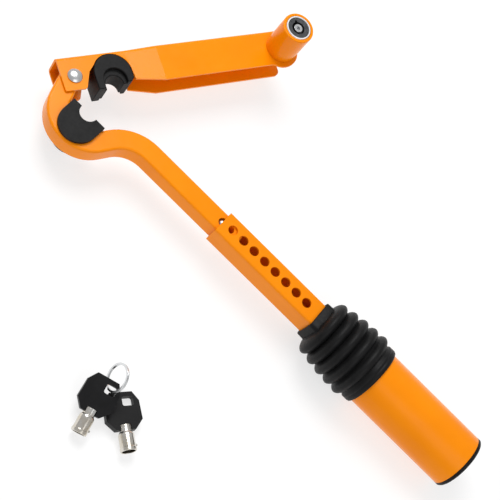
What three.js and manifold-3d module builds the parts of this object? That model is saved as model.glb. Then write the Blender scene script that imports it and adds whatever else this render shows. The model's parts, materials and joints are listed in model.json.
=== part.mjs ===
// Gear-lever and handbrake lock: a rubber-jawed hook whose arm closes over a telescopic square
// tube, and a round sleeve on a flexible booted joint. Millimetres, +X along the tube, +Z up.
import * as THREE from "three";
import { mergeVertices } from "three/addons/utils/BufferGeometryUtils.js";
import Module from "manifold-3d";

const wasm = await Module();
wasm.setup();

// Driving dimensions.
const GAP = 0.3; // clearance between pieces that touch
const BAR = 8.3; // half side of the square hook bar
const EDGE = 2; // rounding of the bar's and the tube's long edges
const BAR_END = 18.6; // end of the bar inside the tube
const TUBE = 10.5; // half side of the outer tube
const TUBE_END = 112;
const HOLE = { first: 10, pitch: 11.15, count: 8, radius: 3.95 };
const PIVOT = { x: -154.4, y: -1.1, shank: 3, head: 5.8 };
const ARM_ANGLE = THREE.MathUtils.degToRad(59.6); // the arm stands open at rest
const ARM = { sheet: 1.8, top: 16.5, low: -13.4, hingeHalf: 10.5, lockHalf: 12.7, bend: 3 };
const ARM_X = { end: -10.5, pinch: 46, kink: 71, back: 185, front: 198 };
const PAD = { half: 10.9, x: 30.9, y: -1.1, radius: 15.3, groove: 9.4, core: 7.2, coreHalf: 7.7 };
const SEAT = { half: 11.2, x: -126.4, y: -27.9, radius: 15.6, top: -15.5, groove: 7.3 };
const LOCK = { x: 179.55, radius: 13.1, bore: 10.75, low: 13, top: 46.2, face: 45.6, bolt: 3.5 };
const JOINT_X = 131; // centre of the cross joint inside the boot
const SLEEVE = { low: 158.2, high: 257.2, outer: 23.75, inner: 22.2 };
const BOOT = { low: 100.5, high: 164.8, first: 112.5, pitch: 9.7, rib: 4.9 };
const RIB_RADII = [24.8, 26.5, 27.8, 28.5, 29];
const FLOOR = -29;

const steel = { color: 0xf58a12, roughness: 0.35, metalness: 0.2 };
const rubber = { color: 0x242424, roughness: 0.75, metalness: 0 };
const chrome = { color: 0xd0d2d4, roughness: 0.18, metalness: 1 };
const zinc = { color: 0x9a9c9e, roughness: 0.4, metalness: 0.9 };
const darkMetal = { color: 0x3a3b3e, roughness: 0.45, metalness: 0.6 };
const nickel = { color: 0xcfc8bb, roughness: 0.2, metalness: 1 };
const plastic = { color: 0x2b2b2c, roughness: 0.6, metalness: 0 };

// A closed geometry as a solid, whichever way its faces were wound.
function solid(geometry) {
  const plain = new THREE.BufferGeometry()
    .setAttribute("position", geometry.getAttribute("position"))
    .setIndex(geometry.index);
  const merged = mergeVertices(plain, 1e-4);
  const corners = [];
  for (let i = 0; i < merged.index.count; i += 3) {
    const [a, b, c] = [0, 1, 2].map((k) => merged.index.getX(i + k));
    if (a !== b && b !== c && c !== a) corners.push(a, b, c);
  }
  const make = (order) =>
    new wasm.Manifold(
      new wasm.Mesh({
        numProp: 3,
        vertProperties: merged.attributes.position.array,
        triVerts: new Uint32Array(order),
      }),
    );
  const made = make(corners);
  return made.volume() < 0 ? make(corners.reverse()) : made;
}

function meshOf(name, shape, look) {
  const made = shape.getMesh();
  const geometry = new THREE.BufferGeometry()
    .setAttribute("position", new THREE.BufferAttribute(made.vertProperties, 3))
    .setIndex(new THREE.BufferAttribute(made.triVerts, 1))
    .toNonIndexed();
  geometry.computeVertexNormals();
  const mesh = new THREE.Mesh(geometry, new THREE.MeshStandardMaterial(look));
  mesh.name = name;
  return mesh;
}

// Outlines: lists of [x, y], or { arc: [cx, cy, r, from, to] } in degrees (to < from is clockwise).
function outline(steps) {
  const shape = new THREE.Shape();
  steps.forEach((step, i) => {
    if (!step.arc) {
      if (i) shape.lineTo(...step);
      else shape.moveTo(...step);
      return;
    }
    const [x, y, r, from, to] = step.arc;
    const [a, b] = [from, to].map(THREE.MathUtils.degToRad);
    if (i) shape.lineTo(x + r * Math.cos(a), y + r * Math.sin(a));
    shape.absarc(x, y, r, a, b, to < from);
  });
  return shape;
}

function roundedRect(x0, y0, x1, y1, r) {
  return outline([
    { arc: [x1 - r, y0 + r, r, -90, 0] },
    { arc: [x1 - r, y1 - r, r, 0, 90] },
    { arc: [x0 + r, y1 - r, r, 90, 180] },
    { arc: [x0 + r, y0 + r, r, 180, 270] },
  ]);
}

const square = (half, r) => roundedRect(-half, -half, half, half, r);

function alongZ(shape, z0, z1, curveSegments = 8) {
  const options = { depth: z1 - z0, steps: 1, bevelEnabled: false, curveSegments };
  return new THREE.ExtrudeGeometry(shape, options).translate(0, 0, z0);
}

// Shape x becomes y and shape y becomes z.
function alongX(shape, x0, x1, curveSegments = 2) {
  const turn = new THREE.Matrix4().set(0, 0, 1, 0, 1, 0, 0, 0, 0, 1, 0, 0, 0, 0, 0, 1);
  return alongZ(shape, x0, x1, curveSegments).applyMatrix4(turn);
}

// A body of revolution about an axis, from [radius, height] points that close on themselves
// or on the axis.
function turned(points, axis, segments = 32) {
  const lathe = new THREE.LatheGeometry(points.map((p) => new THREE.Vector2(...p)), segments);
  if (axis === "z") lathe.rotateX(Math.PI / 2);
  if (axis === "x") lathe.rotateZ(-Math.PI / 2);
  return solid(lathe);
}

function rod(radius, from, to, axis, segments = 24) {
  return turned([[0, from], [radius, from], [radius, to], [0, to]], axis, segments);
}

function pipe(outer, inner, from, to, axis, segments = 40) {
  const points = [[inner, from], [outer, from], [outer, to], [inner, to], [inner, from]];
  return turned(points, axis, segments);
}

function box(x0, y0, z0, x1, y1, z1) {
  const size = [x1 - x0, y1 - y0, z1 - z0];
  const middle = [(x0 + x1) / 2, (y0 + y1) / 2, (z0 + z1) / 2];
  return solid(new THREE.BoxGeometry(...size).translate(...middle));
}

// The hook's centreline: straight, then an S-bend into the round jaw, ending above the pivot.
class HookRoute extends THREE.Curve {
  constructor() {
    super();
    this.legs = [];
    this.at = new THREE.Vector2(BAR_END, 0);
    this.heading = Math.PI;
    this.line(92.4, 1);
    this.arc(31.8, 60.8, 10);
    this.line(9.6, 1);
    this.arc(24.1, -131.6, 20);
    this.line(20.5, 1);
    this.steps = this.legs.reduce((sum, leg) => sum + leg.steps, 0);
  }
  line(length, steps) {
    const [from, heading] = [this.at.clone(), this.heading];
    const ahead = new THREE.Vector2(Math.cos(heading), Math.sin(heading)).multiplyScalar(length);
    this.legs.push({ steps, point: (s) => from.clone().addScaledVector(ahead, s) });
    this.at = from.clone().add(ahead);
  }
  arc(radius, degrees, steps) {
    const turn = THREE.MathUtils.degToRad(degrees);
    const side = Math.sign(turn) * radius;
    const [from, heading] = [this.at.clone(), this.heading];
    const point = (s) => {
      const now = heading + turn * s;
      const dx = side * (Math.sin(now) - Math.sin(heading));
      const dy = side * (Math.cos(heading) - Math.cos(now));
      return new THREE.Vector2(from.x + dx, from.y + dy);
    };
    this.legs.push({ steps, point });
    this.at = point(1);
    this.heading = heading + turn;
  }
  getUtoTmapping(u) {
    return u;
  }
  getPoint(t) {
    let s = THREE.MathUtils.clamp(t, 0, 1) * this.steps;
    for (const leg of this.legs) {
      if (s <= leg.steps || leg === this.legs.at(-1)) {
        const p = leg.point(s / leg.steps);
        return new THREE.Vector3(p.x, p.y, 0);
      }
      s -= leg.steps;
    }
    return new THREE.Vector3();
  }
}

const route = new HookRoute();

function barSweep(half, r) {
  const options = { extrudePath: route, steps: route.steps, curveSegments: 2 };
  const end = route.getPoint(1);
  const round = [
    [0, -half],
    [half - r, -half],
    [half, r - half],
    [half, half - r],
    [half - r, half],
    [0, half],
  ];
  const cap = turned(round, "z", 32).translate([end.x, end.y, 0]);
  return solid(new THREE.ExtrudeGeometry(square(half, r), options)).add(cap);
}

const DETENT = { x: 0.2, radius: 3.6, floor: -6.5, ball: 3.2, ballZ: 5 };
const CROSS_HOLE = { x: 8.2, radius: 3.2 };

function hookBar() {
  return barSweep(BAR, EDGE)
    .subtract(rod(PIVOT.shank + GAP, -20, 20, "z").translate([PIVOT.x, PIVOT.y, 0]))
    .subtract(rod(DETENT.radius, DETENT.floor, 20, "z").translate([DETENT.x, 0, 0]))
    .subtract(rod(CROSS_HOLE.radius, -20, 20, "z").translate([CROSS_HOLE.x, 0, 0]));
}

function detentBall() {
  const ball = new THREE.SphereGeometry(DETENT.ball, 20, 12);
  return solid(ball).translate([DETENT.x, 0, DETENT.ballZ]);
}

class Helix extends THREE.Curve {
  constructor(radius, low, high, turns) {
    super();
    Object.assign(this, { radius, low, high, turns });
  }
  getPoint(t) {
    const a = t * this.turns * 2 * Math.PI;
    const z = this.low + (this.high - this.low) * t;
    return new THREE.Vector3(this.radius * Math.cos(a), this.radius * Math.sin(a), z);
  }
}

function detentSpring() {
  const wire = new THREE.Shape().absarc(0, 0, 0.45, 0, 2 * Math.PI);
  const path = new Helix(2.2, DETENT.floor + 0.9, 0.9, 4);
  const options = { extrudePath: path, steps: 48, curveSegments: 4 };
  return solid(new THREE.ExtrudeGeometry(wire, options)).translate([DETENT.x, 0, 0]);
}

// The lower jaw: a U-shaped rubber block that straddles the bar in the bottom of the hook.
function hookPad() {
  const { x, y, radius, top, half, groove } = SEAT;
  const centre = x - 0.7;
  const shape = outline([
    [x + radius, top],
    [centre + groove, top],
    { arc: [centre, top, groove, 0, -180] },
    [x - radius, top],
    { arc: [x, y, radius, 180, 360] },
  ]);
  return solid(alongZ(shape, -half, half, 10)).subtract(barSweep(BAR + GAP, EDGE));
}

function pivotRivet() {
  const seat = ARM.hingeHalf + GAP;
  const { shank, head } = PIVOT;
  const dome = [
    [head, 0],
    [head, 0.6],
    [head * 0.86, 1.5],
    [head * 0.6, 2.2],
    [head * 0.3, 2.6],
    [0, 2.7],
  ];
  const upper = dome.map(([r, h]) => [r, seat + h]);
  const lower = dome.map(([r, h]) => [r, -seat - h]).reverse();
  const shaft = [
    [shank, -seat],
    [shank, seat],
  ];
  return turned([...lower, ...shaft, ...upper], "z", 28).translate([PIVOT.x, PIVOT.y, 0]);
}

// One length of the U-channel, whose half width goes from w0 to w1.
function channelPiece(x0, w0, x1, w1) {
  const { top, sheet, lockHalf: w, bend } = ARM;
  const deep = -22;
  const inner = bend - sheet;
  const section = outline([
    [deep, -w],
    { arc: [top - bend, bend - w, bend, -90, 0] },
    { arc: [top - bend, w - bend, bend, 0, 90] },
    [deep, w],
    [deep, w - sheet],
    { arc: [top - bend, w - bend, inner, 90, 0] },
    { arc: [top - bend, bend - w, inner, 0, -90] },
    [deep, sheet - w],
  ]);
  const geometry = alongX(section, x0, x1, 3);
  const p = geometry.getAttribute("position");
  for (let i = 0; i < p.count; i++) {
    const half = Math.abs(p.getX(i) - x0) < 1e-3 ? w0 : w1;
    const share = THREE.MathUtils.clamp(p.getZ(i) / (w - bend), -1, 1);
    p.setZ(i, p.getZ(i) + (half - w) * share);
  }
  return solid(geometry);
}

function swingArm() {
  const { end, pinch, kink, back, front } = ARM_X;
  const { hingeHalf, lockHalf, low } = ARM;
  const channel = channelPiece(end, hingeHalf, pinch, hingeHalf)
    .add(channelPiece(pinch, hingeHalf, kink, lockHalf))
    .add(channelPiece(kink, lockHalf, front, lockHalf));
  const notch = PAD.radius + 0.45;
  const side = [
    [end, 25],
    { arc: [end + 1.5, -9.7, 1.5, 180, 270] },
    [5.6, -11.2],
    [7, -10.4],
    [12.4, 2],
    { arc: [PAD.x, PAD.y, notch, 148, 0] },
    [47.3, -8.7],
    [kink, low],
  ];
  const eye = [LOCK.x - 1.25, -1.6, 15.4];
  const frontSide = outline([...side, [163, low], { arc: [...eye, 232, 390] }, [188, 25]]);
  const backSide = outline([...side, { arc: [back - 5, low + 5, 5, 270, 360] }, [back, 25]]);
  const blank = solid(alongZ(frontSide, 0, 20, 10)).add(solid(alongZ(backSide, -20, 0, 10)));
  return channel
    .intersect(blank)
    .subtract(rod(PIVOT.shank + GAP, -20, 20, "z"))
    .subtract(rod(LOCK.bolt + 0.4, 0, 20, "z").translate([LOCK.x, 0, 0]))
    .subtract(rod(2.3, 10, 20, "y").translate([PAD.x, 0, 0]));
}

// The upper jaw: a rubber arch in the arm's notch, its middle thicker than its cheeks.
function archShape(centreX, centreY, groove) {
  const { x, y, radius } = PAD;
  return outline([
    [x - radius, -13.4],
    [centreX - groove, -13.4],
    { arc: [centreX, centreY, groove, 180, 0] },
    [centreX + groove, -10.4],
    [43.6, -10.4],
    [x + radius, -7.4],
    { arc: [x, y, radius, 0, 180] },
  ]);
}

function armPad() {
  const cheeks = solid(alongZ(archShape(31, -7, PAD.groove), -PAD.half, PAD.half, 10));
  const core = alongZ(archShape(30.3, -9.5, PAD.core), -PAD.coreHalf, PAD.coreHalf, 10);
  const screwHole = rod(2.3, 5.5, 20, "y").translate([PAD.x, 0, 0]);
  return cheeks.add(solid(core)).subtract(screwHole);
}

function armPadScrew() {
  const seat = ARM.top + GAP;
  const profile = [
    [0, 6],
    [2, 6],
    [2, seat],
    [4, seat],
    [3.4, seat + 1.6],
    [1.6, seat + 2.2],
    [0, seat + 2.3],
  ];
  return turned(profile, "y", 20).translate([PAD.x, 0, 0]);
}

function lockTube() {
  const { radius, bore, low, top } = LOCK;
  const profile = [
    [bore, low],
    [radius, low],
    [radius, top - 1],
    [radius - 0.4, top - 0.2],
    [radius - 1, top],
    [bore, top],
    [bore, low],
  ];
  return turned(profile, "z", 48).translate([LOCK.x, 0, 0]);
}

const BEZEL = { outer: 10.4, inner: 9.1, low: 38 };

function lockBezel() {
  const { outer, inner, low } = BEZEL;
  const high = LOCK.top + 0.3;
  const profile = [
    [inner, low],
    [outer, low],
    [outer, high - 0.5],
    [outer - 0.4, high],
    [inner + 0.2, high],
    [inner, high - 0.3],
    [inner, low],
  ];
  return turned(profile, "z", 40).translate([LOCK.x, 0, 0]);
}

const KEYWAY = { outer: 5.3, post: 3.5, floor: 35.7 };

function lockBody() {
  const { outer, inner, low } = BEZEL;
  const { bolt, face, x } = LOCK;
  const bottom = 16;
  const neck = inner - GAP;
  const barrel = rod(outer, bottom, low - GAP, "z", 40).add(rod(neck, bottom, face, "z", 40));
  return barrel
    .subtract(rod(KEYWAY.outer, KEYWAY.floor, 60, "z", 32))
    .subtract(box(-0.9, 4, 40, 0.9, 6.9, 60))
    .subtract(rod(bolt + GAP, 0, 33.9, "z"))
    .translate([x, 0, 0]);
}

function lockPlug() {
  const { post, floor } = KEYWAY;
  const high = LOCK.face;
  const profile = [
    [0, floor + GAP],
    [KEYWAY.outer - GAP, floor + GAP],
    [KEYWAY.outer - GAP, floor + 1.8],
    [post, floor + 1.8],
    [post, high],
    [1.4, high],
    [1.4, high - 6],
    [0, high - 6],
  ];
  return turned(profile, "z", 32).translate([LOCK.x, 0, 0]);
}

function lockBolt() {
  const { bolt, x } = LOCK;
  const low = 11.3;
  const profile = [
    [0, low],
    [bolt - 0.9, low],
    [bolt, low + 0.9],
    [bolt, 32.5],
    [0, 32.5],
  ];
  return turned(profile, "z", 28).translate([x, 0, 0]);
}

function outerTube() {
  let tube = solid(alongX(square(TUBE, EDGE), 0, TUBE_END)).subtract(
    solid(alongX(square(BAR + GAP, EDGE - 0.8), -1, TUBE_END + 1)),
  );
  for (let i = 0; i < HOLE.count; i++) {
    const x = HOLE.first + i * HOLE.pitch;
    tube = tube.subtract(rod(HOLE.radius, 0, 20, "z", 28).translate([x, 0, 0]));
  }
  return tube;
}

// The boot: a square collar on the tube, five round ribs and a round collar on the sleeve.
function boot() {
  const { low, high, first, pitch, rib } = BOOT;
  const skin = SLEEVE.outer + GAP;
  const outer = [[17.3, 105.5]];
  RIB_RADII.forEach((radius, i) => {
    for (const degrees of [160, 125, 90, 55, 20]) {
      const a = THREE.MathUtils.degToRad(degrees);
      const x = first + i * pitch + rib * Math.cos(a);
      outer.push([radius - rib + rib * Math.sin(a), x]);
    }
  });
  outer.push([26.2, 157.6], [26.2, high - 1.6], [25.7, high - 0.5], [24.9, high]);
  const inner = [[skin, high], [skin, 157], [22.4, 150], [19.6, 117], [15.3, 106.5], [15.3, 103.5]];
  const bellows = turned([[16.6, 103.5], ...outer, ...inner, [16.6, 103.5]], "x", 40);
  const collar = solid(alongX(square(12.9, 2.5), low, 105.5));
  const throat = solid(alongX(square(TUBE + GAP, EDGE), 90, 106));
  const hollow = rod(15.2, 104, 107, "x", 48);
  return bellows.add(collar).subtract(throat).subtract(hollow);
}

// A fork with two lugs on either side of the joint's centre, bored along Y.
function lugs(reach) {
  const lug = (y) =>
    box(JOINT_X - reach, y - 2, -5, JOINT_X, y + 2, 5).add(
      rod(5, -2, 2, "y").translate([JOINT_X, y, 0]),
    );
  return lug(-7.8).add(lug(7.8)).subtract(rod(2.3, -20, 20, "y").translate([JOINT_X, 0, 0]));
}

function tubeFork() {
  const plug = solid(alongX(square(BAR, EDGE), 97, JOINT_X - 16));
  return plug.add(lugs(19));
}

function jointCross() {
  const arm = (axis) => rod(2, -9.8, 9.8, axis, 20).translate([JOINT_X, 0, 0]);
  const hub = box(JOINT_X - 4.5, -5.4, -5.4, JOINT_X + 4.5, 5.4, 5.4);
  return hub.add(arm("y")).add(arm("z"));
}

const PLATE = { low: 158.6, high: 162.2, hole: 5.3 };

function sleeveFork() {
  const turnedLugs = lugs(21)
    .translate([-JOINT_X, 0, 0])
    .rotate([0, 0, 180])
    .rotate([90, 0, 0])
    .translate([JOINT_X, 0, 0]);
  const flange = rod(13, JOINT_X + 18, PLATE.low - GAP, "x", 32);
  const stem = rod(PLATE.hole - GAP, JOINT_X + 20, PLATE.high + 8, "x");
  return turnedLugs.add(flange).add(stem);
}

function sleevePlate() {
  return pipe(SLEEVE.inner - GAP, PLATE.hole, PLATE.low, PLATE.high, "x", 48);
}

function forkNut() {
  const from = PLATE.high + GAP;
  return rod(9, from, from + 6, "x", 6).subtract(rod(PLATE.hole, 0, 200, "x"));
}

function sleeveTube() {
  return pipe(SLEEVE.outer, SLEEVE.inner, SLEEVE.low, SLEEVE.high, "x", 64);
}

function sleeveRim() {
  const { high, outer, inner } = SLEEVE;
  const seat = high + GAP;
  const profile = [
    [inner - 1.8, high - 8],
    [inner - GAP, high - 8],
    [inner - GAP, seat],
    [outer + 0.1, seat],
    [outer + 0.1, seat + 2],
    [outer - 0.8, seat + 3],
    [inner - 1.8, seat + 3],
    [inner - 1.8, high - 8],
  ];
  return turned(profile, "x", 64);
}

// A tubular key in its own frame: barrel along +x, head behind it, lying in the xy plane.
const KEY = { half: 2.7, stem: 4.6, barrel: 5.8, lip: 6.1, bore: 4.9, length: 14.5 };
const KEY_SLOT = { x0: -25.5, x1: -18.5, half: 4.2 };

function keyHead(slotY) {
  const { x0, x1, half } = KEY_SLOT;
  const shape = outline([
    [-1, -7.5],
    [-1, 7.5],
    [-8, 13.5],
    [-22, 13],
    [-29, 8.5],
    [-29, -8.5],
    [-22, -13],
    [-8, -13.5],
  ]);
  const slot = roundedRect(x0, slotY - half, x1, slotY + half, 1.5);
  return solid(alongZ(shape, -KEY.half, KEY.half))
    .subtract(solid(alongZ(slot, -20, 20, 3)))
    .subtract(rod(KEY.stem + GAP, -5, 5, "x"));
}

function keyBarrel() {
  const { stem, barrel, lip, bore, length } = KEY;
  const profile = [
    [0, GAP - 5],
    [stem, GAP - 5],
    [stem, 0.4],
    [stem + 0.8, 1.2],
    [barrel, 2.8],
    [barrel, length - 3],
    [lip, length - 2.6],
    [lip, length - 0.4],
    [lip - 0.4, length],
    [bore, length],
    [bore, 3],
    [0, 3],
  ];
  const nub = box(length - 5.2, barrel - 0.6, -0.9, length - 3.4, barrel + 1, 0.9);
  return turned(profile, "x", 28).add(nub);
}

// Two flat turns of wire, with the groove between them round the outside.
function keyRing() {
  const profile = [
    [9.6, -0.9],
    [11.2, -0.9],
    [11.2, -0.15],
    [10.9, 0],
    [11.2, 0.15],
    [11.2, 0.9],
    [9.6, 0.9],
    [9.6, -0.9],
  ];
  return turned(profile, "z", 36);
}

const part = new THREE.Group();
const arm = new THREE.Group();
arm.position.set(PIVOT.x, PIVOT.y, 0);
arm.rotation.z = ARM_ANGLE;
part.add(arm);

part.add(
  meshOf("hook_bar", hookBar(), steel),
  meshOf("hook_pad", hookPad(), rubber),
  meshOf("detent_ball", detentBall(), chrome),
  meshOf("detent_spring", detentSpring(), zinc),
  meshOf("pivot_rivet", pivotRivet(), chrome),
  meshOf("outer_tube", outerTube(), steel),
  meshOf("boot", boot(), rubber),
  meshOf("tube_fork", tubeFork(), zinc),
  meshOf("joint_cross", jointCross(), zinc),
  meshOf("sleeve_fork", sleeveFork(), zinc),
  meshOf("sleeve_plate", sleevePlate(), zinc),
  meshOf("fork_nut", forkNut(), zinc),
  meshOf("sleeve_tube", sleeveTube(), steel),
  meshOf("sleeve_rim", sleeveRim(), rubber),
);
arm.add(
  meshOf("swing_arm", swingArm(), steel),
  meshOf("arm_pad", armPad(), rubber),
  meshOf("arm_pad_screw", armPadScrew(), zinc),
  meshOf("lock_tube", lockTube(), steel),
  meshOf("lock_bezel", lockBezel(), chrome),
  meshOf("lock_body", lockBody(), darkMetal),
  meshOf("lock_plug", lockPlug(), chrome),
  meshOf("lock_bolt", lockBolt(), zinc),
);

// The two keys lie beside the tube, the first propped on the second, with the split ring
// leaning up out of the first one's slot.
function keyGroup(index, x, y, degrees, nose, slotY) {
  const key = new THREE.Group();
  key.add(
    meshOf(`key_${index}_head`, keyHead(slotY), plastic),
    meshOf(`key_${index}_barrel`, keyBarrel(), nickel),
  );
  const slope = THREE.MathUtils.degToRad(nose);
  key.rotation.set(0, slope, THREE.MathUtils.degToRad(degrees), "ZYX");
  key.position.set(x, y, 0);
  key.position.z = FLOOR + 0.05 - new THREE.Box3().setFromObject(key, true).min.z;
  key.updateMatrixWorld(true);
  const { x0, x1 } = KEY_SLOT;
  const slot = key.localToWorld(new THREE.Vector3((x0 + x1) / 2, slotY, 0));
  return { key, slot };
}

const RING = 10.4; // middle radius of the ring's wire
const keys = [keyGroup(1, 25.9, -172.3, -75, 13, 5.4), keyGroup(2, 53.9, -161.2, -41, -6.5, 4.5)];
const ring = meshOf("key_ring", keyRing(), chrome);
const facing = new THREE.Vector3(0.75, 0.5, -0.44).normalize();
const lean = new THREE.Vector3(-0.27, 0.83, 0.48);
lean.addScaledVector(facing, -facing.dot(lean)).normalize();
ring.position.copy(keys[0].slot).addScaledVector(lean, RING);
ring.quaternion.setFromUnitVectors(new THREE.Vector3(0, 0, 1), facing);
part.add(keys[0].key, keys[1].key, ring);

// The frame: origin under the middle of everything, on the surface it lies on.
const bounds = new THREE.Box3().setFromObject(part, true);
const middle = bounds.getCenter(new THREE.Vector3());
part.position.set(-middle.x, -middle.y, -bounds.min.z);
const root = new THREE.Group();
root.add(part);

export default root;
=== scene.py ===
"""Gear-lever and handbrake lock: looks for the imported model.

Places come from the frame's nodes, in metres. Tables of sizes are in millimetres.
"""

import json
import math

import bmesh
import bpy
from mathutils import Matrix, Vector


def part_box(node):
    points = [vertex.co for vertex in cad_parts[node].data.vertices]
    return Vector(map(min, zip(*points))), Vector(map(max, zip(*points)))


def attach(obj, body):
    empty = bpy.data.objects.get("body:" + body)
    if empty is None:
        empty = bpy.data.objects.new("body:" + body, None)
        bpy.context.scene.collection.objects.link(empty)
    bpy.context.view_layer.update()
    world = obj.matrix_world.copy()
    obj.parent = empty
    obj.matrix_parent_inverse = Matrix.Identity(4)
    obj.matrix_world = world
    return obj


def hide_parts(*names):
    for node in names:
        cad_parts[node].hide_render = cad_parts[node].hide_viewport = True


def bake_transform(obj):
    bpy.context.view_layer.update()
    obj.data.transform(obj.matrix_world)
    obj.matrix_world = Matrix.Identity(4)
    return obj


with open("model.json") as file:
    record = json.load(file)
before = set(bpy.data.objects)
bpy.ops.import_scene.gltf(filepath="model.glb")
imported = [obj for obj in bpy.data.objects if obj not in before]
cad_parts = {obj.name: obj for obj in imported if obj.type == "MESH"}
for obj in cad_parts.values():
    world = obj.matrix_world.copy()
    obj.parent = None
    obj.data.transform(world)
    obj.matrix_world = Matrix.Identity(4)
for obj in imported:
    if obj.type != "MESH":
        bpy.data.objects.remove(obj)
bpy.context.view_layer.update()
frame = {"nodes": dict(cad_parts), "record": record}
scene = bpy.context.scene
MM = 0.001

# Materials ----------------------------------------------------------------------------

NOISE_SPAN = (0.3, 0.7)  # most of a noise texture's values lie between these
COLOUR_DETAIL = 3.0
GLOSS_DETAIL = 5.0
GRAIN_DETAIL = 2.0
GLOSS_SCALE = 4  # gloss drifts over patches this much smaller than colour does
GRAIN_STRENGTH = 0.35


def noise(tree, scale, detail):
    """A noise texture in the piece's own metres, with features about 1/scale across."""
    coords = tree.nodes.new("ShaderNodeTexCoord")
    texture = tree.nodes.new("ShaderNodeTexNoise")
    texture.inputs["Scale"].default_value = scale
    texture.inputs["Detail"].default_value = detail
    tree.links.new(coords.outputs["Object"], texture.inputs["Vector"])
    return texture.outputs["Fac"]


def ranged(tree, value, low, high):
    """A noise value spread over low to high."""
    node = tree.nodes.new("ShaderNodeMapRange")
    node.inputs["From Min"].default_value = NOISE_SPAN[0]
    node.inputs["From Max"].default_value = NOISE_SPAN[1]
    node.inputs["To Min"].default_value = low
    node.inputs["To Max"].default_value = high
    tree.links.new(value, node.inputs["Value"])
    return node.outputs["Result"]


def tinted(tree, value, *colours):
    """A noise value as a drift from the first colour to the second."""
    ramp = tree.nodes.new("ShaderNodeValToRGB")
    stops = ramp.color_ramp.elements
    for stop, position, colour in zip(stops, NOISE_SPAN, colours):
        stop.position = position
        stop.color = (*colour, 1)
    tree.links.new(value, ramp.inputs["Fac"])
    return ramp.outputs["Color"]


def finish(
    name, dark, light, roughness, patch=60, grain=1500, depth=0.02, sockets=None
):
    """A surface whose colour and gloss drift in patches, under a fine grain in relief.

    patch and grain are noise scales, depth is the grain's height in millimetres, and
    sockets holds the shader's constants.
    """
    material = bpy.data.materials.new(name)
    material.use_nodes = True
    tree = material.node_tree
    shader = tree.nodes["Principled BSDF"]
    for socket, value in (sockets or {}).items():
        shader.inputs[socket].default_value = value
    colour = tinted(tree, noise(tree, patch, COLOUR_DETAIL), dark, light)
    tree.links.new(colour, shader.inputs["Base Color"])
    gloss = noise(tree, patch * GLOSS_SCALE, GLOSS_DETAIL)
    tree.links.new(ranged(tree, gloss, *roughness), shader.inputs["Roughness"])
    bump = tree.nodes.new("ShaderNodeBump")
    bump.inputs["Strength"].default_value = GRAIN_STRENGTH
    bump.inputs["Distance"].default_value = depth * MM
    tree.links.new(noise(tree, grain, GRAIN_DETAIL), bump.inputs["Height"])
    tree.links.new(bump.outputs["Normal"], shader.inputs["Normal"])
    return material


FINISHES = {
    "orange_coat": dict(
        dark=(0.93, 0.258, 0.0012),
        light=(0.98, 0.282, 0.0016),
        roughness=(0.2, 0.26),
        patch=30,
        grain=900,
        depth=0.012,
        sockets={"Specular IOR Level": 0.14},
    ),
    "black_rubber": dict(
        dark=(0.005, 0.005, 0.0052),
        light=(0.008, 0.008, 0.0084),
        roughness=(0.42, 0.56),
        patch=120,
        grain=2200,
        depth=0.03,
        sockets={"Specular IOR Level": 0.16},
    ),
    "bright_chrome": dict(
        dark=(0.66, 0.67, 0.68),
        light=(0.78, 0.79, 0.8),
        roughness=(0.2, 0.3),
        sockets={"Metallic": 1.0},
    ),
    "zinc_steel": dict(
        dark=(0.4, 0.4, 0.41),
        light=(0.56, 0.56, 0.57),
        roughness=(0.3, 0.45),
        sockets={"Metallic": 1.0},
    ),
    "dark_lock_metal": dict(
        dark=(0.06, 0.062, 0.066),
        light=(0.11, 0.112, 0.118),
        roughness=(0.3, 0.45),
        patch=200,
        sockets={"Metallic": 0.85},
    ),
    "black_plastic": dict(
        dark=(0.006, 0.006, 0.0065),
        light=(0.01, 0.01, 0.0105),
        roughness=(0.36, 0.48),
        grain=1800,
        depth=0.03,
        sockets={"Specular IOR Level": 0.16},
    ),
    "key_nickel": dict(
        dark=(0.62, 0.56, 0.46),
        light=(0.76, 0.75, 0.73),
        roughness=(0.12, 0.25),
        patch=120,
        sockets={"Metallic": 1.0},
    ),
    "bezel": dict(
        dark=(0.86, 0.87, 0.88),
        light=(0.95, 0.95, 0.96),
        roughness=(0.35, 0.42),
        sockets={"Metallic": 0.55},
    ),
}
MATERIALS = {name: finish(name, **look) for name, look in FINISHES.items()}

SLOTS = {part["node"]: part["material_slot"] for part in frame["record"]["subparts"]}
BODIES = {
    node: body
    for body, nodes in frame["record"]["behaviour"]["bodies"].items()
    for node in nodes
}


def dress(obj, material):
    obj.data.materials.clear()
    obj.data.materials.append(MATERIALS[material])


# Rigid pieces -------------------------------------------------------------------------

WELD = 0.01 * MM
FLAT_ANGLE = 0.8  # degrees: faces that meet at less are one flat face
SMOOTH_ANGLE = 32  # degrees: edges that turn by less are shaded smooth
EDGE_SEGMENTS = 2
EDGE_WIDTHS = {  # how wide each piece's sharp edges are rounded
    "hook_bar": 0.35,
    "hook_pad": 0.6,
    "pivot_rivet": 0.0,
    "detent_ball": 0.0,
    "swing_arm": 0.3,
    "arm_pad": 0.6,
    "arm_pad_screw": 0.2,
    "lock_tube": 0.0,
    "lock_bezel": 0.0,
    "lock_body": 0.15,
    "lock_plug": 0.12,
    "lock_bolt": 0.0,
    "outer_tube": 0.35,
    "tube_fork": 0.3,
    "joint_cross": 0.2,
    "sleeve_fork": 0.3,
    "sleeve_plate": 0.2,
    "fork_nut": 0.3,
    "sleeve_tube": 0.0,
    "sleeve_rim": 0.0,
    "key_1_head": 0.9,
    "key_1_barrel": 0.25,
    "key_2_head": 0.9,
    "key_2_barrel": 0.25,
    "key_ring": 0.1,
}


def linked(name, data):
    obj = bpy.data.objects.new(name, data)
    scene.collection.objects.link(obj)
    return obj


def shade(mesh, angle):
    """Smooth shading, broken at edges that turn by more than angle degrees."""
    mesh.shade_smooth()
    mesh.set_sharp_from_angle(angle=math.radians(angle))


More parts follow.
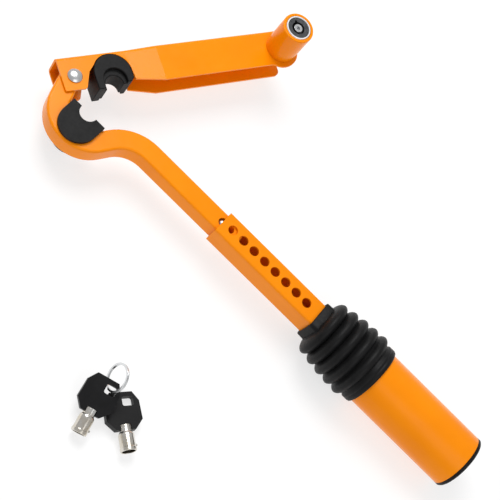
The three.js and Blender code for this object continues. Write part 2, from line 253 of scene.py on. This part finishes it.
def piece(name, mesh, slot):
    obj = linked(name, mesh)
    dress(obj, slot)
    return obj


def softened(node, width):
    """A node's shape with its edges rounded and its curved faces shaded smooth."""
    mesh = frame["nodes"][node].data.copy()
    bm = bmesh.new()
    bm.from_mesh(mesh)
    bmesh.ops.remove_doubles(bm, verts=bm.verts, dist=WELD)
    bmesh.ops.dissolve_limit(
        bm, angle_limit=math.radians(FLAT_ANGLE), verts=bm.verts, edges=bm.edges
    )
    bm.to_mesh(mesh)
    bm.free()
    shade(mesh, SMOOTH_ANGLE)
    obj = piece(node + "_finished", mesh, SLOTS[node])
    if width:
        rounding = obj.modifiers.new("rounding", "BEVEL")
        rounding.width = width * MM
        rounding.segments = EDGE_SEGMENTS
        rounding.limit_method = "ANGLE"
        rounding.angle_limit = math.radians(SMOOTH_ANGLE)
    weighted = obj.modifiers.new("weighted", "WEIGHTED_NORMAL")
    weighted.keep_sharp = True
    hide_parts(node)
    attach(obj, BODIES[node])
    return obj


finished = {node: softened(node, width) for node, width in EDGE_WIDTHS.items()}
dress(finished["lock_bezel"], "bezel")
dress(frame["nodes"]["detent_spring"], "zinc_steel")

# Boot ---------------------------------------------------------------------------------

boot_low, boot_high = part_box("boot")
AXIS_Y = (boot_low.y + boot_high.y) / 2
AXIS_Z = (boot_low.z + boot_high.z) / 2
START = boot_low.x  # the square mouth's outer end
END = boot_high.x  # the round collar's end, on the sleeve
CENTRE = START + 30.5 * MM  # the flexible joint inside

RIB_RADII = (24.7, 26.5, 27.8, 28.5, 28.95)
FIRST_RIB = 12
RIB_PITCH = 9.7
RIB_HALF_WIDTH = 4.7
RIB_HEIGHT = 5.2
RIB_PINCH = 0.18  # share of the width that a rib loses at its crest
RIB_STEPS = 8
RIB_ARC = (168, 12)  # degrees, from the rib's near side over its crest to its far side

# (distance from START, radius) where the round part begins inside the square mouth
NECK = ((6.4, 15.4), (7, 17.5))
# (distance back from END, radius) along the round collar, with a groove round it
COLLAR = (
    (6.9, 25.4),
    (6.2, 26.2),
    (4.6, 26.2),
    (4.3, 25.9),
    (3.9, 25.9),
    (3.6, 26.2),
    (1.6, 26.2),
    (0.5, 25.8),
    (0, 25),
)
# (distance, radius) along the inside: back from END, then from START
LINING_AT_SLEEVE = ((0, 24.1), (7.6, 24.1))
LINING_TO_MOUTH = ((49, 22.4), (16.5, 19.6), (6, 15.3))
# (distance from START, half the square's side), once round the mouth's wall
MOUTH = (
    (0.3, 10.8),
    (0.0, 11.3),
    (0.0, 12.2),
    (0.5, 12.8),
    (6.4, 13.1),
    (7.8, 13.6),
    (8.0, 10.8),
)
MOUTH_CORE = 9.6  # half the side of the square that the corners are rounded about
MOUTH_LEAST_RADIUS = 1.6
CORNER_STEPS = 6
BOOT_SEGMENTS = 96
ROUND_SHARP_ANGLE = 60
SQUARE_SHARP_ANGLE = 50
TUBE_GRIP = 5 * MM  # the mouth's length at the tube's end
SLEEVE_GRIP = 8 * MM  # the collar's length at the sleeve's end


def from_start(points):
    return [(START + x * MM, r * MM) for x, r in points]


def from_end(points):
    return [(END - x * MM, r * MM) for x, r in points]


def ribs():
    points = []
    for i, radius in enumerate(RIB_RADII):
        for step in range(RIB_STEPS + 1):
            turn = (RIB_ARC[1] - RIB_ARC[0]) * step / RIB_STEPS
            a = math.radians(RIB_ARC[0] + turn)
            across = RIB_HALF_WIDTH * math.cos(a) * (1 - RIB_PINCH * math.sin(a))
            x = FIRST_RIB + i * RIB_PITCH + across
            points.append((x, radius - RIB_HEIGHT * (1 - math.sin(a))))
    return points


OUTSIDE = from_start(NECK) + from_start(ribs()) + from_end(COLLAR)
INSIDE = from_end(LINING_AT_SLEEVE) + from_start(LINING_TO_MOUTH)


def cut(points, keep_before):
    """The part of an open (x, radius) line on one side of the joint's centre."""
    kept = []
    for (x0, r0), (x1, r1) in zip(points, points[1:]):
        inside = [(x <= CENTRE) == keep_before for x in (x0, x1)]
        if inside[0]:
            kept.append((x0, r0))
        if inside[0] != inside[1]:
            share = (CENTRE - x0) / (x1 - x0)
            kept.append((CENTRE, r0 + (r1 - r0) * share))
    if (points[-1][0] <= CENTRE) == keep_before:
        kept.append(points[-1])
    return kept


def rubber_skin(name, rings, sharp_angle):
    """A closed surface through rings of points, the last ring joined to the first."""
    bm = bmesh.new()
    rings = [[bm.verts.new(point) for point in ring] for ring in rings]
    for here, there in zip(rings, rings[1:] + rings[:1]):
        following = here[1:] + here[:1], there[1:] + there[:1]
        for quad in zip(here, *following, there):
            bm.faces.new(quad)
    bmesh.ops.recalc_face_normals(bm, faces=bm.faces)
    mesh = bpy.data.meshes.new(name)
    bm.to_mesh(mesh)
    bm.free()
    shade(mesh, sharp_angle)
    return piece(name, mesh, "black_rubber")


def turned(name, loop):
    """A ring turned about the tube's axis, from a closed loop of (x, radius)."""
    rings = []
    for k in range(BOOT_SEGMENTS):
        a = 2 * math.pi * k / BOOT_SEGMENTS
        y, z = math.cos(a), math.sin(a)
        rings.append([(x, AXIS_Y + r * y, AXIS_Z + r * z) for x, r in loop])
    return rubber_skin(name, rings, ROUND_SHARP_ANGLE)


def rounded_square(half, radius):
    """Points round a square with rounded corners."""
    points = []
    for corner in range(4):
        sx = 1 if corner in (0, 3) else -1
        sy = 1 if corner in (0, 1) else -1
        for step in range(CORNER_STEPS + 1):
            a = math.radians(90 * corner + 90 * step / CORNER_STEPS)
            points.append(
                (
                    sx * (half - radius) + radius * math.cos(a),
                    sy * (half - radius) + radius * math.sin(a),
                )
            )
    return points


def square_collar():
    """The boot's square mouth round the tube, with rounded edges."""
    rings = []
    for x, half in MOUTH:
        radius = max(MOUTH_LEAST_RADIUS, half - MOUTH_CORE) * MM
        square = rounded_square(half * MM, radius)
        rings.append([(START + x * MM, AXIS_Y + y, AXIS_Z + z) for y, z in square])
    return rubber_skin("boot_collar", rings, SQUARE_SHARP_ANGLE)


upper = turned("boot_upper", cut(OUTSIDE, True) + cut(INSIDE, True))
lower = turned("boot_lower", cut(OUTSIDE, False) + cut(INSIDE, False))
collar = square_collar()
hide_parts("boot")
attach(collar, "tube")
for half, pair, reach in (
    (upper, ("tube", "cross"), (START + TUBE_GRIP, CENTRE)),
    (lower, ("cross", "sleeve"), (CENTRE, END - SLEEVE_GRIP)),
):
    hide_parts("boot")
    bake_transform(half)

# Stage --------------------------------------------------------------------------------

FLOOR_HALF_SIDE = 3
FLOOR_CELLS = 8
FLOOR_GAP = 0.5 * MM  # below the object's lowest point
PAPER = dict(
    dark=(0.34, 0.34, 0.34),
    light=(0.36, 0.36, 0.36),
    roughness=(0.85, 0.95),
    patch=3,
    sockets={
        "Emission Color": (1, 1, 1, 1),
        "Emission Strength": 0.68,
        "Specular IOR Level": 0.0,
    },
)
SOFTBOXES = (  # name, place, side, watts, all aimed at the object's middle
    ("key_light", (-0.7, 0.5, 1.3), 0.8, 15),
    ("fill_light", (0.9, -0.7, 1.2), 1.2, 5),
)
WORLD_STRENGTH = 0.5
CAMERA_PLACE = (-0.0687, -0.4583, 0.8106)
CAMERA_TURN = (21.17, -23.55, 39.18)  # degrees
CAMERA_LENS = 86.4
CAMERA_SENSOR = 36


def floor():
    bm = bmesh.new()
    bmesh.ops.create_grid(
        bm, x_segments=FLOOR_CELLS, y_segments=FLOOR_CELLS, size=FLOOR_HALF_SIDE
    )
    mesh = bpy.data.meshes.new("floor")
    bm.to_mesh(mesh)
    bm.free()
    mesh.materials.append(finish("paper", **PAPER))
    obj = linked("floor", mesh)
    obj.location.z = -FLOOR_GAP


def softbox(name, place, side, watts):
    lamp = bpy.data.lights.new(name, "AREA")
    lamp.shape = "RECTANGLE"
    lamp.size = lamp.size_y = side
    lamp.energy = watts
    obj = linked(name, lamp)
    obj.location = place
    obj.rotation_euler = (-Vector(place)).to_track_quat("-Z", "Y").to_euler()


floor()
for box in SOFTBOXES:
    softbox(*box)

world = bpy.data.worlds.new("studio")
world.use_nodes = True
background = world.node_tree.nodes["Background"]
background.inputs["Color"].default_value = (1, 1, 1, 1)
background.inputs["Strength"].default_value = WORLD_STRENGTH
scene.world = world
scene.view_settings.view_transform = "Standard"

camera = linked("camera", bpy.data.cameras.new("camera"))
camera.location = CAMERA_PLACE
camera.data.lens = CAMERA_LENS
camera.data.sensor_width = CAMERA_SENSOR
camera.rotation_euler = [math.radians(a) for a in CAMERA_TURN]
scene.camera = camera
